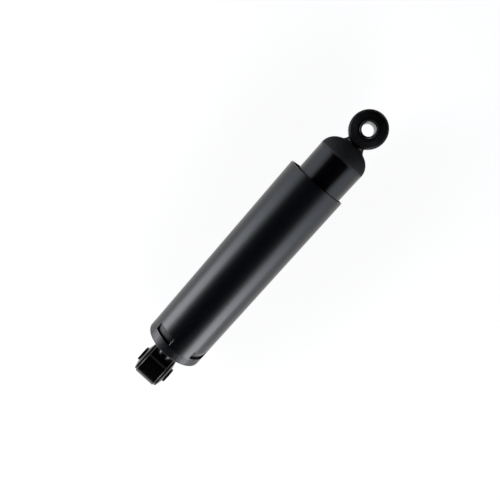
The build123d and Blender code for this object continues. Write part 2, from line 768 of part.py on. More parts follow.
def fillet_bead(corner_x, direction, leg):
    """Concave bead round the boss, from a corner at corner_x toward direction on X."""
    boss_r = BOSS_OD / 2
    far_x = corner_x + direction * leg
    curve = ThreePointArc(
        (far_x, boss_r),
        (corner_x + direction * leg * BEAD_WAIST, boss_r + leg * BEAD_WAIST),
        (corner_x, boss_r + leg),
    )
    back_x = corner_x - direction * leg
    rest = Polyline(curve @ 1, (back_x, boss_r + leg), (back_x, boss_r), curve @ 0)
    return revolve(make_face([curve, rest]), Axis.X)


def cap_weld():
    """Bead between the boss and the outer face of the cap."""
    bead = fillet_bead(cap_outer_x, 1, CAP_WELD_LEG)
    return bead - leaned(rod(0, cap_outer_x, cover_r))


def rod_eye_weld():
    """Bead between the boss and the rod eye's ring."""
    boss_r = BOSS_OD / 2
    side_x = rod_eye_x - (ring_r**2 - boss_r**2) ** 0.5
    outer_r = boss_r + ROD_WELD_LEG
    collar = turned(
        (rod_eye_x - ring_r - ROD_WELD_LEG / 2, boss_r),
        (side_x, outer_r),
        (rod_eye_x, outer_r),
        (rod_eye_x, boss_r),
    )
    past_ring = collar - rod_ring_envelope()
    return past_ring.solids().sort_by(Axis.X)[0]


def bump_stop():
    """Rubber stop with a waist, which meets the end of the body at full bump."""
    outer_r = BUMP_STOP_OD / 2
    middle_x = bump_stop_x + BUMP_STOP_LENGTH / 2
    half_groove = BUMP_STOP_LENGTH * BUMP_STOP_GROOVE
    ring = turned(
        (bump_stop_x, rod_r + PRESS_FIT),
        (bump_stop_x, outer_r - BUMP_STOP_WAIST),
        (bump_stop_x + BUMP_STOP_LENGTH * BUMP_STOP_NOSE, outer_r),
        (middle_x - half_groove, outer_r),
        (middle_x, outer_r - BUMP_STOP_WAIST),
        (middle_x + half_groove, outer_r),
        (cap_outer_x, outer_r),
        (cap_outer_x, rod_r + PRESS_FIT),
    )
    return ring - leaned(tube(cap_inner_x, cover_end_x, cover_r, 0.0))


PIECES = {
    "base_cap": base_cap,
    "reserve_tube": reserve_tube,
    "pressure_tube": pressure_tube,
    "foot_valve_body": foot_valve_body,
    "foot_valve_plate": foot_valve_plate,
    "foot_valve_spring": foot_valve_spring,
    "foot_valve_spacer": foot_valve_spacer,
    "foot_valve_shims": foot_valve_shims,
    "foot_valve_washer": foot_valve_washer,
    "foot_valve_nut": foot_valve_nut,
    "foot_valve_bolt": foot_valve_bolt,
    "rod_guide": rod_guide,
    "guide_bush": guide_bush,
    "guide_o_ring": guide_o_ring,
    "rod_seal": rod_seal,
    "seal_garter_spring": seal_garter_spring,
    "seal_cap": seal_cap,
    "body_eye_ring": eye_ring_blank,
    "body_eye_weld": body_eye_weld,
    "body_eye_bush": eye_bush_blank,
    "body_eye_sleeve": eye_sleeve_blank,
    "piston_rod": piston_rod,
    "piston": piston,
    "piston_band": piston_band,
    "piston_valve_plate": piston_valve_plate,
    "piston_valve_spring": piston_valve_spring,
    "piston_valve_spacer": piston_valve_spacer,
    "valve_retainer": valve_retainer,
    "piston_shims": piston_shims,
    "piston_washer": piston_washer,
    "piston_nut": piston_nut,
    "rebound_stop": rebound_stop,
    "bump_stop": bump_stop,
    "cover_cap": cover_cap,
    "dust_cover": dust_cover,
    "rod_boss": rod_boss,
    "cap_weld": cap_weld,
    "rod_eye_weld": rod_eye_weld,
    "rod_eye_ring": lambda: at_rod_eye(eye_ring_blank()),
    "rod_eye_bush": lambda: at_rod_eye(eye_bush_blank()),
    "rod_eye_sleeve": lambda: at_rod_eye(eye_sleeve_blank()),
}

os.makedirs("parts", exist_ok=True)
for node, make in PIECES.items():
    export_step(make(), f"parts/{node}.step")
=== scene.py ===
# Looks of the telescopic shock absorber: paint, rubber, steel, weld beads, light and camera.
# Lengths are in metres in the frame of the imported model. X runs from the body eye to the rod eye,
# the body eye's bore is along Z and the rod eye's bore is along Y.

import json
import math

import bpy
import numpy as np
from mathutils import Matrix, Vector


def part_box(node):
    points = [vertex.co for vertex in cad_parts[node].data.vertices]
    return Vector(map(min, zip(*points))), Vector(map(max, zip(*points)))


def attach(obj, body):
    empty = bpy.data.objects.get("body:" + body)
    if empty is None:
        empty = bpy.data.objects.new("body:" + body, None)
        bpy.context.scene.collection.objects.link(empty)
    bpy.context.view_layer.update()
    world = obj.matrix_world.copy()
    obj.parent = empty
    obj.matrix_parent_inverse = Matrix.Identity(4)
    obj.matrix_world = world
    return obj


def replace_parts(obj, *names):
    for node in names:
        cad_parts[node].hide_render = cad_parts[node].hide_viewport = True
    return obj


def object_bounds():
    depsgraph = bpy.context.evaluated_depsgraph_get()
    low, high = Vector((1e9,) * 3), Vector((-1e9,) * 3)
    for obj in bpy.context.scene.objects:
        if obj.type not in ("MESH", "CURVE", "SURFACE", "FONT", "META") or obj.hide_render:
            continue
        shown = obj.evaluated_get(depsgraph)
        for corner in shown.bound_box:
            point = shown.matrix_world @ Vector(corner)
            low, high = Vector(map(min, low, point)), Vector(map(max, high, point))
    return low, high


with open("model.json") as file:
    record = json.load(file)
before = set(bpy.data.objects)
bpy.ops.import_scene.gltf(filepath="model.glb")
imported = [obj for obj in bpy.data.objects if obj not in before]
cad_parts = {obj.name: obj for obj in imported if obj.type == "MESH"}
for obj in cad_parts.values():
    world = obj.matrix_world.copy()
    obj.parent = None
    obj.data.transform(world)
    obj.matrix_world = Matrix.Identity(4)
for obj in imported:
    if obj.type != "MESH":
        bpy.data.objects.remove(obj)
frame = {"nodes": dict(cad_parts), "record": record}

MM = 0.001

# Camera, set so that both eyes, the tube and the cover stand where the photograph has them
IMAGE_PIXELS = 500
FOCAL_PIXELS = 538.7
SENSOR_WIDTH_MM = 36.0
CAMERA_PLACE = (0.03742, -0.00578, 0.57638)
CAMERA_TARGET = (0.17684, -0.00753, 0.0)
AXIS_RISE_DEG = 47.93

# Floor and surround of the studio
FLOOR_GAP = 0.3 * MM
FLOOR_SPAN = 8.0
FLOOR_GLOW = 0.87
FLOOR_SHADE = "#9c9c9c"
WORLD_LEVEL = 0.85

# Panels beside the damper, dim and bluish toward the body eye, bright and neutral past the rod eye
PANEL_DISTANCE = 0.9
PANEL_START = -0.3
PANEL_END = 1.15
PANEL_LOW = 0.02
PANEL_HIGH = 0.6
PANEL_DIM = 1.65
PANEL_BRIGHT = 7.5
PANEL_BRIGHT_START = 0.09
PANEL_BRIGHT_END = 0.8
PANEL_BODY_TINT = "#dae4f3"
PANEL_ROD_TINT = "#f8f9ff"

# Dark cards over the damper and past its ends, and low flags beside the body eye
VELVET_SHADE = "#050505"
CARD_HEIGHT = 0.8
CARD_DROP = 0.75
CARD_START = -0.95
CARD_END = 1.3
CARD_BODY_END = 0.02
CARD_BODY_HALF_WIDTH = 1.2
CARD_ROD_HALF_WIDTH = 0.78
BODY_END_HALF_WIDTH = 1.0
ROD_END_HALF_WIDTH = 0.45
FLAG_LIFT = 0.5 * MM
FLAG_INNER = 0.024
FLAG_OUTER = 0.12
FLAG_START = -0.14
FLAG_END = 0.018

# Moulded rubber bushes and the rings round them
RING_WALL = 4.0 * MM
RING_CHAMFER = 0.8 * MM
BUSH_TURNS = 240
CORNER_STEPS = 7
CORNER_REACH = 0.45
BUSH_CORNER = 0.8 * MM
BUSH_BEVEL = 1.9 * MM
BUSH_FACE_SHARE = 22.0 / 37.0
BUSH_SKIN = 0.05 * MM
PARTING_RIDGE = 0.13 * MM
PARTING_HALF_WIDTH = 0.2 * MM
RUBBER_SWELL = 0.05 * MM
RUBBER_WAVES = 5
RUBBER_OVAL_WAVES = 2
RUBBER_OVAL_START = 1.0
SLEEVE_BORE_R = 7.1 * MM
BORE_ALONG_Y = ((1, 0, 0), (0, 0, 1), (0, -1, 0))
BORE_ALONG_Z = ((1, 0, 0), (0, 1, 0), (0, 0, 1))

# Pressed cap that closes the body
TUBE_WALL = 2.0 * MM
PRESSED_WALL = 2.5 * MM
PRESSED_POWER = 2.25
PRESSED_STEPS = 48
PRESSED_TURNS = 240
LIP_GAP = 0.05 * MM
POLE_R = 0.05 * MM

# Weld beads. A wave is how often it goes round and where it starts.
BEAD_TURNS = 480
BEAD_STEPS = 28
RIPPLE_PITCH = 1.3 * MM
RIPPLE_HEIGHT = 0.16 * MM
RIPPLE_BOW = 0.9
BEAD_WANDER = 0.22 * MM
WANDER_SLOW = (3, 0.7)
WANDER_MIDDLE = (5, 0.0)
WANDER_FAST = (11, 2.0)
WANDER_FAST_SHARE = 0.5
BEAD_ROOT = 2.5 * MM
BEAD_TOE_SINK = 0.25 * MM
NECK_FLARE = 3.2 * MM
FOOT_SPREAD = 2.0 * MM
NECK_HOLLOW = 1.3 * MM
FILLET_HOLLOW = 0.25 * MM

# Lanced tongues of the dust cover, and the cover's lean about the middle of its cap
TONGUE_ROOT_X = 299.9 * MM
TONGUE_TIP_X = 308.9 * MM
TONGUE_END_SLIT = 0.8 * MM
TONGUE_FIRST_DEG = -27.3
TONGUE_HALF_DEG = 21.6
TONGUES = 4
COVER_LEAN_DEG = 0.75
CAP_PLATE = 2.5 * MM

# Burrs along the tongues
BURR_R = 0.2 * MM
BURR_SINK = 0.05 * MM
BURR_STEPS = 40
BURR_SIDES = 12
BURR_TIP_SHARE = 0.05
BURR_FULLNESS = 0.3
BURR_WAVE = 0.2
BURR_WAVE_RATE = 31

# Butt weld that closes each rolled eye ring
SEAM_HALF_WIDTH = 1.5 * MM
SEAM_HEIGHT = 0.16 * MM
SEAM_ANGLE_DEG = -40.0
SEAM_STEPS = 90
SEAM_SIDES = 16
SEAM_END_RATE = 12
SEAM_END_SHARE = 0.05
SEAM_END_WIDTH = 0.7
SEAM_LEVEL = 0.85
SEAM_FAST = 70
SEAM_SLOW = 23
SEAM_SLOW_START = 1.0

# Sockets of a Mix node: its factor, its two colours, its two numbers and its mixed colour
FACTOR = 0
COLOUR_A = 6
COLOUR_B = 7
NUMBER_A = 2
NUMBER_B = 3
COLOUR_OUT = 2

# Middle part of a noise's values, which the finishes spread over their whole range
NOISE_MIDDLE = {"From Min": 0.3, "From Max": 0.7}

# Enamels, with the spots of worked metal under them. A dullness is a range of roughness.
CLOUD_STRETCH = (0.12, 1.0, 1.0)
CLOUD_SIZE = 22 * MM
DUST_SIZE = 1.1 * MM
PEEL_SIZE = 2.0 * MM
PAINT_GRAIN_SIZE = 0.35 * MM
PAINT_GRAIN_SHARE = 0.12
SPOT_SIZE = 2.6 * MM
COVER_PEEL = 0.006 * MM
COVER_SPOTS_START = TONGUE_TIP_X + 1.5 * MM
COVER_SPOTS_FULL = TONGUE_TIP_X + 3.0 * MM
COVER_SPOTS_HEIGHT = 0.22 * MM
COVER_SPOTS_DULLNESS = (0.3, 0.5)
TUBE_PEEL = 0.004 * MM
CAP_SPOTS_START = 0.2 * MM
CAP_SPOTS_FULL = -3.0 * MM
CAP_SPOTS_HEIGHT = 0.06 * MM
CAP_SPOTS_DULLNESS = (0.76, 0.92)
SCALE_PATCH_SIZE = 3.0 * MM
DIP_PIT_SIZE = 1.6 * MM
DIP_PIT_DEPTH = 0.012 * MM
DIP_GRAIN_SIZE = 0.8 * MM
DIP_GRAIN_HEIGHT = 0.015 * MM
ENAMEL_IOR = 1.5

# Rubber
BLOOM_SIZE = 6.0 * MM
MOULD_GRAIN_SIZE = 0.5 * MM
MOULD_GRAIN_HEIGHT = 0.015 * MM
RUBBER_IOR = 1.46

# Sleeves, bare in the bore and painted from a ragged edge outward
SLEEVE_LIGHT = "#707073"
SLEEVE_DARK = "#565659"
SLEEVE_PAINT = "#09090a"
PAINT_EDGE_SIZE = 1.2 * MM
PAINT_EDGE_WANDER = 0.5 * MM
PAINT_EDGE_START = SLEEVE_BORE_R + 0.42 * MM
PAINT_EDGE_FULL = SLEEVE_BORE_R + 0.62 * MM
SLEEVE_STAIN_SIZE = 2.0 * MM
TURNING_PITCH = 2.6 * MM
TURNING_DEPTH = 0.006 * MM

# Chrome, other steels, sintered iron and polymer
CHROME_COLOUR = "#c9ccd0"
CHROME_STRETCH = (1.0, 0.02, 0.02)
CHROME_LINE_SIZE = 0.12 * MM
CHROME_LINE_HEIGHT = 0.0004 * MM
TOOL_MARK_SIZE = 0.5 * MM
TOOL_MARK_HEIGHT = 0.003 * MM
OIL_STAIN_SIZE = 9.0 * MM
IRON_LIGHT = "#6c6b69"
IRON_DARK = "#4b4a49"
IRON_PORE_SIZE = 0.7 * MM
IRON_PORE_DEPTH = 0.03 * MM
IRON_SHADE_SIZE = 4.0 * MM
POLYMER_COLOUR = "#6b5238"
BRONZE_COLOUR = "#a98a5c"
BRONZE_SPECK_SIZE = 0.4 * MM
POLYMER_WAVE_SIZE = 0.9 * MM
POLYMER_WAVE_HEIGHT = 0.01 * MM

cad_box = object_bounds()


def srgb(code):
    """Linear colour, with alpha, of an sRGB hex value."""
    shares = np.array([int(code[place : place + 2], 16) for place in (1, 3, 5)]) / 255
    linear = np.where(shares <= 0.04045, shares / 12.92, ((shares + 0.055) / 1.055) ** 2.4)
    return (*linear.tolist(), 1.0)


def fill(tree, node, values):
    """Sets properties and inputs, by name or number. A value that is a node or a socket is linked in."""
    for name, value in values.items():
        if isinstance(value, bpy.types.Node):
            value = value.outputs[0]
        if isinstance(value, bpy.types.NodeSocket):
            tree.links.new(value, node.inputs[name])
        elif isinstance(name, str) and name in node.bl_rna.properties:
            setattr(node, name, value)
        else:
            node.inputs[name].default_value = value


def add(tree, kind, values):
    """Adds a shader node with its settings and links."""
    node = tree.nodes.new("ShaderNode" + kind)
    fill(tree, node, values)
    return node


def new_material(name):
    """An empty material, its tree, the shader that its output shows and the place in the model."""
    material = bpy.data.materials.new(name)
    material.use_nodes = True
    tree = material.node_tree
    tree.nodes.clear()
    shader = add(tree, "BsdfPrincipled", {})
    add(tree, "OutputMaterial", {"Surface": shader})
    place = add(tree, "TexCoord", {}).outputs["Object"]
    return material, tree, shader, place


def baked_enamel(name, colour, worn, dullness, peel_height, worked=None):
    """Black baked enamel, sprayed on drawn steel tube.

    The eye sees a satin skin with a slight orange peel two millimetres across, slow clouds in the
    gloss and a few dull specks of dust that dried in. Where the metal was worked, from one station
    along X to another, the skin grows rougher and mottled in spots that are drawn coarse enough to show.
    """
    material, tree, shader, place = new_material(name)
    along = add(tree, "Mapping", {"Vector": place, "Scale": CLOUD_STRETCH})
    clouds = add(tree, "TexNoise", {"Vector": along, "Scale": 1 / CLOUD_SIZE, "Detail": 3.0})
    roughness = add(
        tree, "MapRange",
        {"Value": clouds, **NOISE_MIDDLE, "To Min": dullness[0], "To Max": dullness[1]},
    )
    specks = add(tree, "TexNoise", {"Vector": place, "Scale": 1 / DUST_SIZE, "Detail": 1.0})
    dust = add(tree, "MapRange", {"Value": specks, "From Min": 0.70, "From Max": 0.78})
    tint = add(
        tree, "Mix",
        {"data_type": "RGBA", FACTOR: dust, COLOUR_A: srgb(colour), COLOUR_B: srgb(worn)},
    )
    peel = add(tree, "TexNoise", {"Vector": place, "Scale": 1 / PEEL_SIZE, "Detail": 1.5})
    grain = add(tree, "TexNoise", {"Vector": place, "Scale": 1 / PAINT_GRAIN_SIZE, "Detail": 2.0})
    grain_height = PAINT_GRAIN_SHARE * peel_height
    skin = add(tree, "Bump", {"Height": peel, "Strength": 1.0, "Distance": peel_height})
    skin = add(tree, "Bump", {"Height": grain, "Strength": 1.0, "Distance": grain_height, "Normal": skin})
    if worked is not None:
        low, high = worked["dullness"]
        past = add(
            tree, "MapRange",
            {
                "Value": add(tree, "SeparateXYZ", {"Vector": place}),
                "From Min": worked["start"],
                "From Max": worked["full"],
            },
        )
        mottle = add(
            tree, "TexNoise",
            {"Vector": place, "Scale": 1 / SPOT_SIZE, "Detail": 3.0, "Roughness": 0.6},
        )
        dull = add(tree, "MapRange", {"Value": mottle, **NOISE_MIDDLE, "To Min": low, "To Max": high})
        roughness = add(
            tree, "Mix",
            {"data_type": "FLOAT", FACTOR: past, NUMBER_A: roughness, NUMBER_B: dull},
        )
        spots = add(tree, "Math", {"operation": "MULTIPLY", 0: mottle, 1: past})
        skin = add(
            tree, "Bump",
            {"Height": spots, "Strength": 1.0, "Distance": worked["height"], "Normal": skin},
        )
    fill(
        tree, shader,
        {"Base Color": tint.outputs[COLOUR_OUT], "Roughness": roughness, "Normal": skin, "IOR": ENAMEL_IOR},
    )
    return material


def dipped_enamel(name, colour, worn, dullness):
    """Black dip enamel on the hot formed eye rings and their welds.

    The eye sees a thick wet looking skin, slightly pitted, with the scale of the steel strip
    showing through as dull patches three millimetres across.
    """
    material, tree, shader, place = new_material(name)
    scale = add(
        tree, "TexNoise",
        {"Vector": place, "Scale": 1 / SCALE_PATCH_SIZE, "Detail": 4.0, "Roughness": 0.62},
    )
    roughness = add(
        tree, "MapRange",
        {"Value": scale, **NOISE_MIDDLE, "To Min": dullness[0], "To Max": dullness[1]},
    )
    patches = add(tree, "MapRange", {"Value": scale, "From Min": 0.55, "From Max": 0.75, "To Max": 0.5})
    tint = add(
        tree, "Mix",
        {"data_type": "RGBA", FACTOR: patches, COLOUR_A: srgb(colour), COLOUR_B: srgb(worn)},
    )
    cells = add(tree, "TexVoronoi", {"Vector": place, "Scale": 1 / DIP_PIT_SIZE})
    pits = add(tree, "MapRange", {"Value": cells, "From Max": 0.35})
    grain = add(tree, "TexNoise", {"Vector": place, "Scale": 1 / DIP_GRAIN_SIZE, "Detail": 3.0})
    skin = add(tree, "Bump", {"Height": pits, "Strength": 1.0, "Distance": DIP_PIT_DEPTH})
    skin = add(
        tree, "Bump",
        {"Height": grain, "Strength": 1.0, "Distance": DIP_GRAIN_HEIGHT, "Normal": skin},
    )
    fill(
        tree, shader,
        {"Base Color": tint.outputs[COLOUR_OUT], "Roughness": roughness, "Normal": skin, "IOR": ENAMEL_IOR},
    )
    return material


def moulded_rubber(name, colour, bloom, dullness):
    """Carbon filled rubber, moulded and bloomed with wax.

    The eye sees a deep black with a faint grey bloom in patches six millimetres across and the
    fine grain of the mould.
    """
    material, tree, shader, place = new_material(name)
    patches = add(
        tree, "TexNoise",
        {"Vector": place, "Scale": 1 / BLOOM_SIZE, "Detail": 4.0, "Roughness": 0.6},
    )
    bloomed = add(
        tree, "MapRange", {"Value": patches, "From Min": 0.45, "From Max": 0.75, "To Max": 0.55}
    )
    tint = add(
        tree, "Mix",
        {"data_type": "RGBA", FACTOR: bloomed, COLOUR_A: srgb(colour), COLOUR_B: srgb(bloom)},
    )
    roughness = add(tree, "MapRange", {"Value": patches, "To Min": dullness[0], "To Max": dullness[1]})
    grain = add(
        tree, "TexNoise",
        {"Vector": place, "Scale": 1 / MOULD_GRAIN_SIZE, "Detail": 3.0, "Roughness": 0.6},
    )
    skin = add(tree, "Bump", {"Height": grain, "Strength": 1.0, "Distance": MOULD_GRAIN_HEIGHT})
    fill(
        tree, shader,
        {"Base Color": tint.outputs[COLOUR_OUT], "Roughness": roughness, "Normal": skin, "IOR": RUBBER_IOR},
    )
    return material


def masked_sleeve(name, centre, turn):
    """Steel sleeve turned from tube, painted over outside and masked in its bore.

    The eye sees bare grey steel with fine turning rings in the bore, where the bolt goes, and the
    black of the enamel on the ends, thin and ragged along the bevels.
    """
    material, tree, shader, place = new_material(name)
    local = add(tree, "Mapping", {"Vector": place, "Location": centre, "Rotation": turn})
    parts = add(tree, "SeparateXYZ", {"Vector": local})
    flat = add(tree, "CombineXYZ", {"X": parts.outputs["X"], "Y": parts.outputs["Y"]})
    radius = add(tree, "VectorMath", {"operation": "LENGTH", 0: flat}).outputs["Value"]
    edge = add(tree, "TexNoise", {"Vector": place, "Scale": 1 / PAINT_EDGE_SIZE, "Detail": 3.0})
    ragged = add(tree, "Math", {"operation": "MULTIPLY_ADD", 0: edge, 1: PAINT_EDGE_WANDER, 2: radius})
    painted = add(
        tree, "MapRange", {"Value": ragged, "From Min": PAINT_EDGE_START, "From Max": PAINT_EDGE_FULL}
    )
    stain = add(tree, "TexNoise", {"Vector": local, "Scale": 1 / SLEEVE_STAIN_SIZE, "Detail": 3.0})
    steel = add(
        tree, "Mix",
        {"data_type": "RGBA", FACTOR: stain, COLOUR_A: srgb(SLEEVE_LIGHT), COLOUR_B: srgb(SLEEVE_DARK)},
    )
    tint = add(
        tree, "Mix",
        {
            "data_type": "RGBA",
            FACTOR: painted,
            COLOUR_A: steel.outputs[COLOUR_OUT],
            COLOUR_B: srgb(SLEEVE_PAINT),
        },
    )
    bare = add(tree, "MapRange", {"Value": painted, "To Min": 1.0, "To Max": 0.0})
    roughness = add(tree, "MapRange", {"Value": painted, "To Min": 0.38, "To Max": 0.3})
    rings = add(
        tree, "TexWave",
        {"Vector": local, "bands_direction": "Z", "Scale": 1 / TURNING_PITCH, "Distortion": 0.6},
    )
    turned = add(
        tree, "Bump", {"Height": rings.outputs["Fac"], "Strength": 1.0, "Distance": TURNING_DEPTH}
    )
    fill(
        tree, shader,
        {"Base Color": tint.outputs[COLOUR_OUT], "Metallic": bare, "Roughness": roughness, "Normal": turned},
    )
    return material


def ground_chrome(name):
    """Hard chrome, ground and polished. The eye sees a bright mirror with hair fine rings round the rod."""
    material, tree, shader, place = new_material(name)
    around = add(tree, "Mapping", {"Vector": place, "Scale": CHROME_STRETCH})
    rings = add(
        tree, "TexNoise",
        {"Vector": around, "Scale": 1 / CHROME_LINE_SIZE, "Detail": 3.0, "Roughness": 0.7},
    )
    roughness = add(tree, "MapRange", {"Value": rings, "To Min": 0.05, "To Max": 0.13})
    ground = add(tree, "Bump", {"Height": rings, "Strength": 1.0, "Distance": CHROME_LINE_HEIGHT})
    fill(
        tree, shader,
        {"Base Color": srgb(CHROME_COLOUR), "Metallic": 1.0, "Roughness": roughness, "Normal": ground},
    )
    return material


def worked_steel(name, light, dark, dullness, lay):
    """Bare steel with the marks of its making: lay gives the stretch of the marks along X, Y and Z.

    The eye sees an oily grey metal whose gloss runs in fine lines along the way it was drawn or cut.
    """
    material, tree, shader, place = new_material(name)
    along = add(tree, "Mapping", {"Vector": place, "Scale": lay})
    lines = add(
        tree, "TexNoise",
        {"Vector": along, "Scale": 1 / TOOL_MARK_SIZE, "Detail": 4.0, "Roughness": 0.65},
    )
    stain = add(tree, "TexNoise", {"Vector": place, "Scale": 1 / OIL_STAIN_SIZE, "Detail": 3.0})
    tint = add(
        tree, "Mix",
        {"data_type": "RGBA", FACTOR: stain, COLOUR_A: srgb(light), COLOUR_B: srgb(dark)},
    )
    roughness = add(tree, "MapRange", {"Value": lines, "To Min": dullness[0], "To Max": dullness[1]})
    drawn = add(tree, "Bump", {"Height": lines, "Strength": 1.0, "Distance": TOOL_MARK_HEIGHT})
    fill(
        tree, shader,
        {"Base Color": tint.outputs[COLOUR_OUT], "Metallic": 1.0, "Roughness": roughness, "Normal": drawn},
    )
    return material


def sintered_iron(name):
    """Pressed and sintered iron powder. The eye sees a dull dark metal full of fine pores."""
    material, tree, shader, place = new_material(name)
    cells = add(tree, "TexVoronoi", {"Vector": place, "Scale": 1 / IRON_PORE_SIZE})
    pores = add(tree, "MapRange", {"Value": cells, "From Min": 0.05, "From Max": 0.4})
    shade = add(tree, "TexNoise", {"Vector": place, "Scale": 1 / IRON_SHADE_SIZE, "Detail": 4.0})
    tint = add(
        tree, "Mix",
        {"data_type": "RGBA", FACTOR: shade, COLOUR_A: srgb(IRON_LIGHT), COLOUR_B: srgb(IRON_DARK)},
    )
    roughness = add(tree, "MapRange", {"Value": shade, "To Min": 0.45, "To Max": 0.65})
    pitted = add(tree, "Bump", {"Height": pores, "Strength": 1.0, "Distance": IRON_PORE_DEPTH})
    fill(
        tree, shader,
        {"Base Color": tint.outputs[COLOUR_OUT], "Metallic": 1.0, "Roughness": roughness, "Normal": pitted},
    )
    return material


def filled_polymer(name):
    """Bearing polymer filled with bronze. The eye sees a matt brown with fine metal specks."""
    material, tree, shader, place = new_material(name)
    grains = add(tree, "TexNoise", {"Vector": place, "Scale": 1 / BRONZE_SPECK_SIZE, "Detail": 2.0})
    specks = add(tree, "MapRange", {"Value": grains, "From Min": 0.6, "From Max": 0.7})
    tint = add(
        tree, "Mix",
        {"data_type": "RGBA", FACTOR: specks, COLOUR_A: srgb(POLYMER_COLOUR), COLOUR_B: srgb(BRONZE_COLOUR)},
    )
    roughness = add(tree, "MapRange", {"Value": specks, "To Min": 0.6, "To Max": 0.4})
    waves = add(tree, "TexNoise", {"Vector": place, "Scale": 1 / POLYMER_WAVE_SIZE})
    skin = add(tree, "Bump", {"Height": waves, "Strength": 1.0, "Distance": POLYMER_WAVE_HEIGHT})
    fill(tree, shader, {"Base Color": tint.outputs[COLOUR_OUT], "Roughness": roughness, "Normal": skin})
    return material


def grid_faces(rows, columns, closed_rows, first):
    """Quads between neighbours of a grid whose columns close on themselves.

    They are numbered from a first vertex. Rows that don't close get a cap on each end.
    """
    row = np.arange(rows if closed_rows else rows - 1)
    row, column = np.meshgrid(row, np.arange(columns), indexing="ij")
    next_row = (row + 1) % rows
    next_column = (column + 1) % columns
    corners = (
        row * columns + column,
        next_row * columns + column,
        next_row * columns + next_column,
        row * columns + next_column,
    )
    faces = (np.stack([corner.ravel() for corner in corners], axis=1) + first).tolist()
    if not closed_rows:
        faces.append((np.arange(columns) + first).tolist())
        faces.append((np.arange(columns)[::-1] + first + (rows - 1) * columns).tolist())
    return faces


def surface(name, grids, closed_rows, material, body):
    """Smooth mesh over grids of points, all closed in their columns, that rides on a body."""
    faces = []
    first = 0
    for points in grids:
        rows, columns = points.shape[:2]
        faces += grid_faces(rows, columns, closed_rows, first)
        first += rows * columns
    mesh = bpy.data.meshes.new(name)
    mesh.from_pydata(np.concatenate([points.reshape(-1, 3) for points in grids]), [], faces)
    mesh.polygons.foreach_set("use_smooth", np.ones(len(faces), dtype=bool))
    mesh.update()
    mesh.materials.append(material)
    piece = bpy.data.objects.new(name, mesh)
    bpy.context.scene.collection.objects.link(piece)
    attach(piece, body)
    return piece


def full_turn(steps):
    """Angles of one turn in equal steps, without its end."""
    return np.linspace(0, 2 * math.pi, steps, endpoint=False)


def belly(share):
    """Parabola that is one in the middle of a run and zero at both ends."""
    return 4 * share * (1 - share)


def rounded(corners, radius):
    """Closed outline through corners, each cut off by a parabola that meets both sides along them.

    It starts and ends the radius divided by the tangent of half the corner's angle from the corner,
    as an arc of that radius would, or less where a side is short.
    """
    corners = np.array(corners, float)
    before = np.roll(corners, 1, axis=0) - corners
    after = np.roll(corners, -1, axis=0) - corners
    before_length = np.linalg.norm(before, axis=1, keepdims=True)
    after_length = np.linalg.norm(after, axis=1, keepdims=True)
    before = before / before_length
    after = after / after_length
    half = np.arccos(np.clip((before * after).sum(axis=1, keepdims=True), -1, 1)) / 2
    reach = np.minimum(radius / np.tan(half), CORNER_REACH * np.minimum(before_length, after_length))
    share = np.linspace(0, 1, CORNER_STEPS)[None, :, None]
    start = (corners + before * reach)[:, None, :]
    end = (corners + after * reach)[:, None, :]
    middle = corners[:, None, :]
    curve = start * (1 - share) ** 2 + 2 * middle * share * (1 - share) + end * share**2
    return curve.reshape(-1, 2)


def bush_outline(half_width, flange_r, ring_half, ring_bore_r, sleeve_r):
    """Section of a bush as radius and height, with its barrel, two flanges and their parting ridges."""
    inner_r = sleeve_r + BUSH_SKIN
    barrel_r = ring_bore_r - BUSH_SKIN
    ring_face = ring_half + BUSH_SKIN
    face_r = flange_r * BUSH_FACE_SHARE
    shoulder = half_width - BUSH_BEVEL
    ridge = (ring_face + shoulder) / 2
    upper = [
        (barrel_r, ring_face),
        (flange_r, ring_face),
        (flange_r, ridge - PARTING_HALF_WIDTH),
        (flange_r + PARTING_RIDGE, ridge),
        (flange_r, ridge + PARTING_HALF_WIDTH),
        (flange_r, shoulder),
        (face_r, half_width),
        (inner_r, half_width),
    ]
    lower = [(radius, -height) for radius, height in reversed(upper)]
    return rounded(lower + upper, BUSH_CORNER)


def rubber_bush(name, node, ring, sleeve_r, body, to_place):
    """Bush as its section carried round the bore, with radii that swell by a slow wave of the angle."""
    low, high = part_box(node)
    middle = (high + low) / 2
    along = 2 if node.startswith("body") else 1
    section = bush_outline(
        (high[along] - low[along]) / 2,
        (high[0] - low[0]) / 2,
        ring["half_width"],
        ring["bore_r"],
        sleeve_r,
    )
    angle = full_turn(BUSH_TURNS)[:, None]
    radius = section[:, 0][None, :]
    height = section[:, 1][None, :]
    proud = np.clip((radius - ring["bore_r"]) / ring["bore_r"], 0, None)
    waves = np.cos(RUBBER_WAVES * angle) + np.cos(RUBBER_OVAL_WAVES * angle + RUBBER_OVAL_START)
    radius = radius + RUBBER_SWELL * proud * waves
    local = np.stack(
        [radius * np.cos(angle), radius * np.sin(angle), np.broadcast_to(height, radius.shape)], axis=-1
    )
    points = local @ np.array(to_place).T + np.array(middle)
    piece = surface(name, [points], True, materials["bush_rubber"], body)
    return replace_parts(piece, node)


def ring_x(centre_x, radius, side, across):
    """Station where a line along X meets an eye ring's outside, a given way off its middle."""
    return centre_x + side * np.sqrt(np.clip(radius**2 - across**2, 0, None))


def cap_x(edge_x, height, radius, rho):
    """Station of the pressed cap's outside at a distance from the axis.

    The section is a superellipse: the share of the radius and the share of the height, each raised
    to one power, add up to one.
    """
    share = np.clip(rho / radius, 0, 1) ** PRESSED_POWER
    return edge_x - height * (1 - share) ** (1 / PRESSED_POWER)


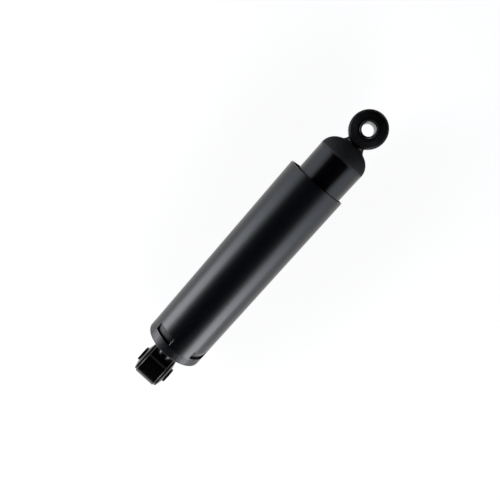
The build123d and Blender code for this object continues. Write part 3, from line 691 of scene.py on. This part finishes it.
def pressed_cap():
    """Cap deep drawn from plate, as one closed shell turned round the X axis.

    Its section runs from the inner pole along the inner superellipse to the lip inside the tube,
    round the lip and back along the outer superellipse to the outer pole.
    """
    low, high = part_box("base_cap")
    edge_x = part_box("reserve_tube")[0].x
    radius = high.z
    height = edge_x - low.x
    turn = np.linspace(0, math.pi / 2, PRESSED_STEPS)
    round_share = np.sin(turn) ** (2 / PRESSED_POWER)
    high_share = np.cos(turn) ** (2 / PRESSED_POWER)
    inner_r = radius - PRESSED_WALL - TUBE_WALL + LIP_GAP
    lip_r = radius - TUBE_WALL - LIP_GAP
    lip_x = edge_x + LIP_GAP
    inner_x = edge_x - (height - PRESSED_WALL) * high_share
    outer_x = edge_x - height * high_share
    station = np.concatenate([inner_x, [high.x, high.x, lip_x, lip_x], outer_x[::-1]])
    rho = np.concatenate(
        [inner_r * round_share, [inner_r, lip_r, lip_r, radius], radius * round_share[::-1]]
    )
    rho = np.maximum(rho, POLE_R)[:, None]
    angle = full_turn(PRESSED_TURNS)[None, :]
    station = np.broadcast_to(station[:, None], (len(rho), PRESSED_TURNS))
    points = np.stack([station, rho * np.cos(angle), rho * np.sin(angle)], axis=-1)
    piece = surface("base_cap_pressing", [points], False, pressed_finish, "damper_body")
    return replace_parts(piece, "base_cap")


def wave(angle, rate_and_start):
    """Sine that goes round a number of times, from its own start."""
    rate, start = rate_and_start
    return np.sin(rate * angle + start)


def weld_bead(name, node, low_toe, high_toe, hollow, body):
    """Weld run round the X axis, as a closed section carried round it.

    Between the toes the section is a parabola that sinks by hollow, and it returns inside the metal.
    Ripples are half sine ridges one pitch apart along the run, bowed toward its middle, and the
    bead's height wanders by slow sines. A toe is a function from angle to station and radius.
    """
    angle = full_turn(BEAD_TURNS)[:, None]
    share = np.linspace(0, 1, BEAD_STEPS)[None, :]
    low_x, low_r = low_toe(angle)
    high_x, high_r = high_toe(angle)
    run_x = high_x - low_x
    run_r = high_r - low_r
    length = np.hypot(run_x, run_r)
    out_x = -run_r / length
    out_r = run_x / length
    ripples = round(2 * math.pi * float(np.mean((low_r + high_r) / 2)) / RIPPLE_PITCH)
    phase = ripples * angle + RIPPLE_BOW * math.pi * (2 * share - 1) ** 2
    wander = wave(angle, WANDER_SLOW) * wave(angle, WANDER_MIDDLE)
    wander = wander + WANDER_FAST_SHARE * wave(angle, WANDER_FAST)
    lift = (RIPPLE_HEIGHT * np.abs(np.sin(phase / 2)) + BEAD_WANDER * wander - hollow) * belly(share)
    station = low_x + run_x * share + out_x * lift
    radius = low_r + run_r * share + out_r * lift
    root_x = np.broadcast_to((low_x + high_x) / 2, low_x.shape)
    root_r = np.minimum(low_r, high_r) - BEAD_ROOT
    station = np.concatenate([station, root_x], axis=1)
    radius = np.concatenate([radius, np.broadcast_to(root_r, root_x.shape)], axis=1)
    points = np.stack([station, radius * np.cos(angle), radius * np.sin(angle)], axis=-1)
    piece = surface(name, [points], True, materials["eye_paint"], body)
    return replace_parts(piece, node)


def body_weld():
    """Bead that joins the body eye's ring to the dome of the base cap."""
    bead_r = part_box("body_eye_weld")[1].y
    neck_r = bead_r - NECK_FLARE
    foot_r = bead_r + FOOT_SPREAD
    ring_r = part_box("body_eye_ring")[1].x
    edge_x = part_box("reserve_tube")[0].x
    cap_low, cap_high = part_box("base_cap")

    def on_ring(angle):
        across = neck_r * np.cos(angle)
        return ring_x(0.0, ring_r, 1, across) - BEAD_TOE_SINK, neck_r + 0 * angle

    def on_dome(angle):
        radius = foot_r + 0 * angle
        return cap_x(edge_x, edge_x - cap_low.x, cap_high.z, radius) + BEAD_TOE_SINK, radius

    return weld_bead(
        "body_weld_run", "body_eye_weld", on_ring, on_dome, NECK_HOLLOW, "damper_body"
    )


def rod_weld():
    """Bead that joins the boss to the rod eye's ring."""
    boss_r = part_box("rod_boss")[1].y
    weld_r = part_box("rod_eye_weld")[1].y
    ring_low, ring_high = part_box("rod_eye_ring")
    centre_x = (ring_low.x + ring_high.x) / 2
    ring_r = (ring_high.x - ring_low.x) / 2

    def on_boss(angle):
        across = boss_r * np.sin(angle)
        toe = ring_x(centre_x, ring_r, -1, across) - (weld_r - boss_r)
        return toe, boss_r - BEAD_TOE_SINK / 2 + 0 * angle

    def on_ring(angle):
        across = weld_r * np.sin(angle)
        return ring_x(centre_x, ring_r, -1, across) + BEAD_TOE_SINK, weld_r + 0 * angle

    return weld_bead(
        "rod_weld_run", "rod_eye_weld", on_boss, on_ring, FILLET_HOLLOW, "rod_assembly"
    )


def cap_weld():
    """Bead that joins the boss to the outer face of the cover's cap."""
    boss_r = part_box("rod_boss")[1].y
    bead_low, bead_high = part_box("cap_weld")

    def on_cap(angle):
        return bead_low.x + BEAD_TOE_SINK / 2 + 0 * angle, bead_high.z + 0 * angle

    def on_boss(angle):
        return bead_high.x + 0 * angle, boss_r - BEAD_TOE_SINK / 2 + 0 * angle

    return weld_bead(
        "cap_weld_run", "cap_weld", on_cap, on_boss, FILLET_HOLLOW, "rod_assembly"
    )


def lanced_burrs():
    """Rolled burrs along one side of the four lanced tongues.

    Each is a thin round bar along X, its radius a slow wave of X that dies away at both ends, at the
    cover's outside and turned with the cover's lean.
    """
    cover_low, cover_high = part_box("dust_cover")
    cover_r = (cover_high.z - cover_low.z) / 2
    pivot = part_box("cover_cap")[1].x - CAP_PLATE
    lean = math.radians(COVER_LEAN_DEG)
    share = np.linspace(0, 1, BURR_STEPS)[:, None]
    side = full_turn(BURR_SIDES)[None, :]
    fullness = np.clip(belly(share), BURR_TIP_SHARE, 1) ** BURR_FULLNESS
    size = BURR_R * (fullness + BURR_WAVE * np.sin(BURR_WAVE_RATE * share))
    slit_end = TONGUE_TIP_X + TONGUE_END_SLIT
    x = TONGUE_ROOT_X + (slit_end - TONGUE_ROOT_X) * share + 0 * side
    radius = cover_r - BURR_SINK + size * np.cos(side)
    grids = []
    for place in range(TONGUES):
        angle = math.radians(TONGUE_FIRST_DEG + TONGUE_HALF_DEG + place * 360 / TONGUES)
        turned = angle + size * (1 + np.sin(side)) / cover_r
        y = radius * np.sin(turned)
        z = radius * np.cos(turned)
        leaned_x = pivot + (x - pivot) * math.cos(lean) - y * math.sin(lean)
        leaned_y = (x - pivot) * math.sin(lean) + y * math.cos(lean)
        grids.append(np.stack([leaned_x, leaned_y, z], axis=-1))
    return surface("lanced_burrs", grids, False, materials["drawn_steel"], "rod_assembly")


def ring_seams():
    """Ground butt welds of the two rolled eye rings.

    Each is a flat ellipse half sunk in the ring and carried along its axis, whose height is a
    product of slow sines and dies away at both ends.
    """
    share = np.linspace(0, 1, SEAM_STEPS)[:, None]
    side = full_turn(SEAM_SIDES)[None, :]
    ends = np.clip(belly(share) * SEAM_END_RATE, SEAM_END_SHARE, 1)
    ripple = np.sin(SEAM_FAST * share) * np.sin(SEAM_SLOW * share + SEAM_SLOW_START)
    height = SEAM_HEIGHT * ends * (SEAM_LEVEL + (1 - SEAM_LEVEL) * ripple)
    half_width = SEAM_HALF_WIDTH * (SEAM_END_WIDTH + (1 - SEAM_END_WIDTH) * ends)
    for node, along, body, base_deg in (
        ("rod_eye_ring", 1, "rod_assembly", SEAM_ANGLE_DEG),
        ("body_eye_ring", 2, "damper_body", 180 + SEAM_ANGLE_DEG),
    ):
        low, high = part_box(node)
        middle = (np.array(low) + np.array(high)) / 2
        ring_r = (high.x - low.x) / 2
        half_length = (high[along] - low[along]) / 2 - RING_CHAMFER
        radius = ring_r - SEAM_HEIGHT / 2 + height * np.cos(side)
        turned = math.radians(base_deg) + half_width * np.sin(side) / ring_r
        across = radius * np.sin(turned)
        up = radius * np.cos(turned)
        station = half_length * (2 * share - 1) + 0 * side
        local = (across, -station, up) if along == 1 else (up, across, -station)
        points = np.stack(local, axis=-1) + middle
        surface(node + "_seam", [points], False, seam_finish, body)


def middle_of(node):
    """Middle of a node along X."""
    low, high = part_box(node)
    return (low.x + high.x) / 2


tube_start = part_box("reserve_tube")[0].x
cover_spots = {
    "start": COVER_SPOTS_START,
    "full": COVER_SPOTS_FULL,
    "dullness": COVER_SPOTS_DULLNESS,
    "height": COVER_SPOTS_HEIGHT,
}
cap_spots = {
    "start": tube_start + CAP_SPOTS_START,
    "full": tube_start + CAP_SPOTS_FULL,
    "dullness": CAP_SPOTS_DULLNESS,
    "height": CAP_SPOTS_HEIGHT,
}
materials = {
    # Satin black over the long cover, rougher and mottled past its tongues
    "cover_paint": baked_enamel(
        "baked_enamel_cover", "#0a0b10", "#16171c", (0.27, 0.34), COVER_PEEL, cover_spots
    ),
    # Glossier black on the smoother body tube
    "tube_paint": baked_enamel("baked_enamel_tube", "#030308", "#0f1013", (0.2, 0.25), TUBE_PEEL),
    # Thick wet black on both eyes and their welds
    "eye_paint": dipped_enamel("dip_enamel_eye_rings", "#050506", "#0d0d0f", (0.17, 0.3)),
    # Natural rubber with the smooth skin of a polished mould
    "bush_rubber": moulded_rubber("moulded_natural_rubber", "#0c0c0d", "#1d1d1f", (0.26, 0.4)),
    # Nitrile rubber, duller and a little brown
    "seal_rubber": moulded_rubber("moulded_nitrile_rubber", "#0d0b0a", "#1d1a19", (0.45, 0.63)),
    # Matt rubber of the stops
    "stop_rubber": moulded_rubber("moulded_stop_rubber", "#0c0c0c", "#202020", (0.58, 0.76)),
    # Bright mirror on the rod
    "rod_chrome": ground_chrome("ground_hard_chrome"),
    # Grey steel with lines along the axis, as tube is drawn
    "drawn_steel": worked_steel("drawn_steel_tube", "#9a9b9c", "#808184", (0.22, 0.4), (0.04, 1.0, 1.0)),
    # Furnace blued strip, with fine lines across the axis
    "valve_spring_steel": worked_steel(
        "blued_spring_strip", "#56606e", "#454a55", (0.18, 0.36), (1.0, 0.06, 1.0)
    ),
    # Pale, faintly yellow zinc over turned steel
    "plated_fastener": worked_steel(
        "zinc_plated_steel", "#b9b8ae", "#a3a49f", (0.26, 0.44), (0.3, 1.0, 1.0)
    ),
    # Dull porous metal of piston, guide and foot valve
    "sintered_iron": sintered_iron("sintered_iron_powder_metal"),
    # Matt brown of the piston band and guide bush
    "bearing_lining": filled_polymer("bronze_filled_bearing_polymer"),
}
# Nearly black and dull on the pressed cap, whose metal was stretched in the press
pressed_finish = baked_enamel(
    "baked_enamel_pressed_cap", "#0f0f13", "#1a1a20", (0.2, 0.25), TUBE_PEEL, cap_spots
)
# Dull brownish line where the ring's weld was ground
seam_finish = dipped_enamel("dip_enamel_ground_seam", "#1d1a17", "#262220", (0.6, 0.75))
sleeve_finishes = {
    "body_eye_sleeve": masked_sleeve("turned_steel_body_sleeve", (0, 0, 0), (0, 0, 0)),
    "rod_eye_sleeve": masked_sleeve(
        "turned_steel_rod_sleeve", (-middle_of("rod_eye_sleeve"), 0, 0), (math.pi / 2, 0, 0)
    ),
}


def dress_nodes():
    """Gives every carried over node the material of its slot, and each sleeve its own."""
    for part in frame["record"]["subparts"]:
        name = part["node"]
        finish = sleeve_finishes[name] if name in sleeve_finishes else materials[part["material_slot"]]
        node = frame["nodes"][name]
        node.data.materials.clear()
        node.data.materials.append(finish)


def eye_ring_sizes(node, along):
    """Half width of an eye ring, and the radius of its bore, which is its outside less its wall."""
    low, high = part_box(node)
    return {"half_width": (high[along] - low[along]) / 2, "bore_r": (high.x - low.x) / 2 - RING_WALL}


def make_bushes():
    """Both moulded bushes, each between its ring and its sleeve."""
    sleeve_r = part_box("body_eye_sleeve")[1].x
    body_ring = eye_ring_sizes("body_eye_ring", 2)
    rod_ring = eye_ring_sizes("rod_eye_ring", 1)
    rubber_bush("body_bush_moulding", "body_eye_bush", body_ring, sleeve_r, "damper_body", BORE_ALONG_Z)
    rubber_bush("rod_bush_moulding", "rod_eye_bush", rod_ring, sleeve_r, "rod_assembly", BORE_ALONG_Y)


def quad(name, low, high, material, seen):
    """Flat stage piece between two opposite corners that share one coordinate."""
    level = [low[axis] == high[axis] for axis in range(3)].index(True)
    first, second = [axis for axis in range(3) if axis != level]
    corners = []
    for first_corner, second_corner in ((low, low), (high, low), (high, high), (low, high)):
        corner = list(low)
        corner[first] = first_corner[first]
        corner[second] = second_corner[second]
        corners.append(corner)
    mesh = bpy.data.meshes.new(name)
    mesh.from_pydata(corners, [], [(0, 1, 2, 3)])
    mesh.materials.append(material)
    piece = bpy.data.objects.new(name, mesh)
    bpy.context.scene.collection.objects.link(piece)
    piece.visible_camera = seen
    return piece


def seen_directly(tree):
    """One for rays that show the background: from the camera, off gloss and through glass."""
    path = add(tree, "LightPath", {})
    gloss = add(
        tree, "Math",
        {"operation": "MAXIMUM", 0: path.outputs["Is Camera Ray"], 1: path.outputs["Is Glossy Ray"]},
    )
    return add(tree, "Math", {"operation": "MAXIMUM", 0: gloss, 1: path.outputs["Is Transmission Ray"]})


def stage_material(name, shade):
    """A material whose surface is what the function shade adds to its tree."""
    material = bpy.data.materials.new(name)
    material.use_nodes = True
    material.node_tree.nodes.clear()
    add(material.node_tree, "OutputMaterial", {"Surface": shade(material.node_tree)})
    return material


def white_paper(tree):
    """White paper sweep, part glow where it is seen and part matt white that keeps the soft shadow."""
    matt = add(tree, "BsdfDiffuse", {"Color": srgb(FLOOR_SHADE)})
    strength = add(tree, "MapRange", {"Value": seen_directly(tree), "To Max": FLOOR_GLOW})
    glow = add(tree, "Emission", {"Color": (1, 1, 1, 1), "Strength": strength})
    return add(tree, "AddShader", {0: matt, 1: glow})


def softbox_cloth(tree):
    """Softbox cloth, dim and bluish beside the body eye, and bright and neutral past the rod eye."""
    place = add(tree, "TexCoord", {}).outputs["Object"]
    share = add(
        tree, "MapRange",
        {
            "interpolation_type": "SMOOTHSTEP",
            "Value": add(tree, "SeparateXYZ", {"Vector": place}),
            "From Min": PANEL_BRIGHT_START,
            "From Max": PANEL_BRIGHT_END,
        },
    )
    level = add(tree, "MapRange", {"Value": share, "To Min": PANEL_DIM, "To Max": PANEL_BRIGHT})
    tint = add(
        tree, "Mix",
        {
            "data_type": "RGBA",
            FACTOR: share,
            COLOUR_A: srgb(PANEL_BODY_TINT),
            COLOUR_B: srgb(PANEL_ROD_TINT),
        },
    )
    return add(tree, "Emission", {"Color": tint.outputs[COLOUR_OUT], "Strength": level})


def black_velvet(tree):
    """Black velvet."""
    return add(tree, "BsdfDiffuse", {"Color": srgb(VELVET_SHADE)})


def build_stage():
    """Floor, a lit panel on each side of the damper, dark cards over and past it, and low flags.

    Only the floor is seen by the camera. The flags lie low beside the body eye and are seen by gloss
    alone: they darken the rim of the pressed cap, and cast no shadow on the floor.
    """
    half = FLOOR_SPAN / 2
    floor_z = cad_box[0][2] - FLOOR_GAP
    flag_z = floor_z + FLAG_LIFT
    card_low = CARD_HEIGHT - CARD_DROP
    paper = stage_material("white_paper_floor", white_paper)
    velvet = stage_material("black_velvet", black_velvet)
    cloth = stage_material("softbox_cloth", softbox_cloth)
    quad("floor", (-half, -half, floor_z), (half, half, floor_z), paper, True)
    for name, y in (("panel_left", -PANEL_DISTANCE), ("panel_right", PANEL_DISTANCE)):
        quad(name, (PANEL_START, y, PANEL_LOW), (PANEL_END, y, PANEL_HIGH), cloth, False)
    for name, start, end, half in (
        ("card_over_body", CARD_START, CARD_BODY_END, CARD_BODY_HALF_WIDTH),
        ("card_over_rod", CARD_BODY_END, CARD_END, CARD_ROD_HALF_WIDTH),
    ):
        quad(name, (start, -half, CARD_HEIGHT), (end, half, CARD_HEIGHT), velvet, False)
    for name, x, half in (
        ("card_body_end", CARD_START, BODY_END_HALF_WIDTH),
        ("card_rod_end", CARD_END, ROD_END_HALF_WIDTH),
    ):
        quad(name, (x, -half, card_low), (x, half, CARD_HEIGHT), velvet, False)
    for name, low_y, high_y in (
        ("flag_left", -FLAG_OUTER, -FLAG_INNER),
        ("flag_right", FLAG_INNER, FLAG_OUTER),
    ):
        flag = quad(name, (FLAG_START, low_y, flag_z), (FLAG_END, high_y, flag_z), velvet, False)
        flag.visible_diffuse = False
        flag.visible_transmission = False
        flag.visible_shadow = False


def build_world():
    """Even white surround: full white where it is seen, plain light elsewhere."""
    world = bpy.data.worlds.new("white_surround")
    bpy.context.scene.world = world
    world.use_nodes = True
    tree = world.node_tree
    tree.nodes.clear()
    strength = add(tree, "MapRange", {"Value": seen_directly(tree), "To Min": WORLD_LEVEL})
    sky = add(tree, "Background", {"Color": (1, 1, 1, 1), "Strength": strength})
    add(tree, "OutputWorld", {"Surface": sky})


def build_camera():
    """Camera whose image holds the damper's axis at its rise above the horizontal."""
    data = bpy.data.cameras.new("camera")
    data.sensor_width = SENSOR_WIDTH_MM
    data.lens = FOCAL_PIXELS / IMAGE_PIXELS * SENSOR_WIDTH_MM
    camera = bpy.data.objects.new("camera", data)
    bpy.context.scene.collection.objects.link(camera)
    place = Vector(CAMERA_PLACE)
    forward = (Vector(CAMERA_TARGET) - place).normalized()
    sideways = Vector((0, 1, 0))
    sideways = (sideways - forward * sideways.dot(forward)).normalized()
    toward_body = sideways.cross(forward)
    rise = math.radians(AXIS_RISE_DEG)
    right = toward_body * math.cos(rise) + sideways * math.sin(rise)
    up = toward_body * math.sin(rise) - sideways * math.cos(rise)
    turn = Matrix((right, up, -forward)).transposed()
    camera.matrix_world = Matrix.Translation(place) @ turn.to_4x4()
    bpy.context.scene.camera = camera


dress_nodes()
make_bushes()
lanced_burrs()
ring_seams()
pressed_cap()
body_weld()
rod_weld()
cap_weld()
build_stage()
build_world()
build_camera()
bpy.context.scene.view_settings.view_transform = "Standard"

bpy.context.view_layer.update()
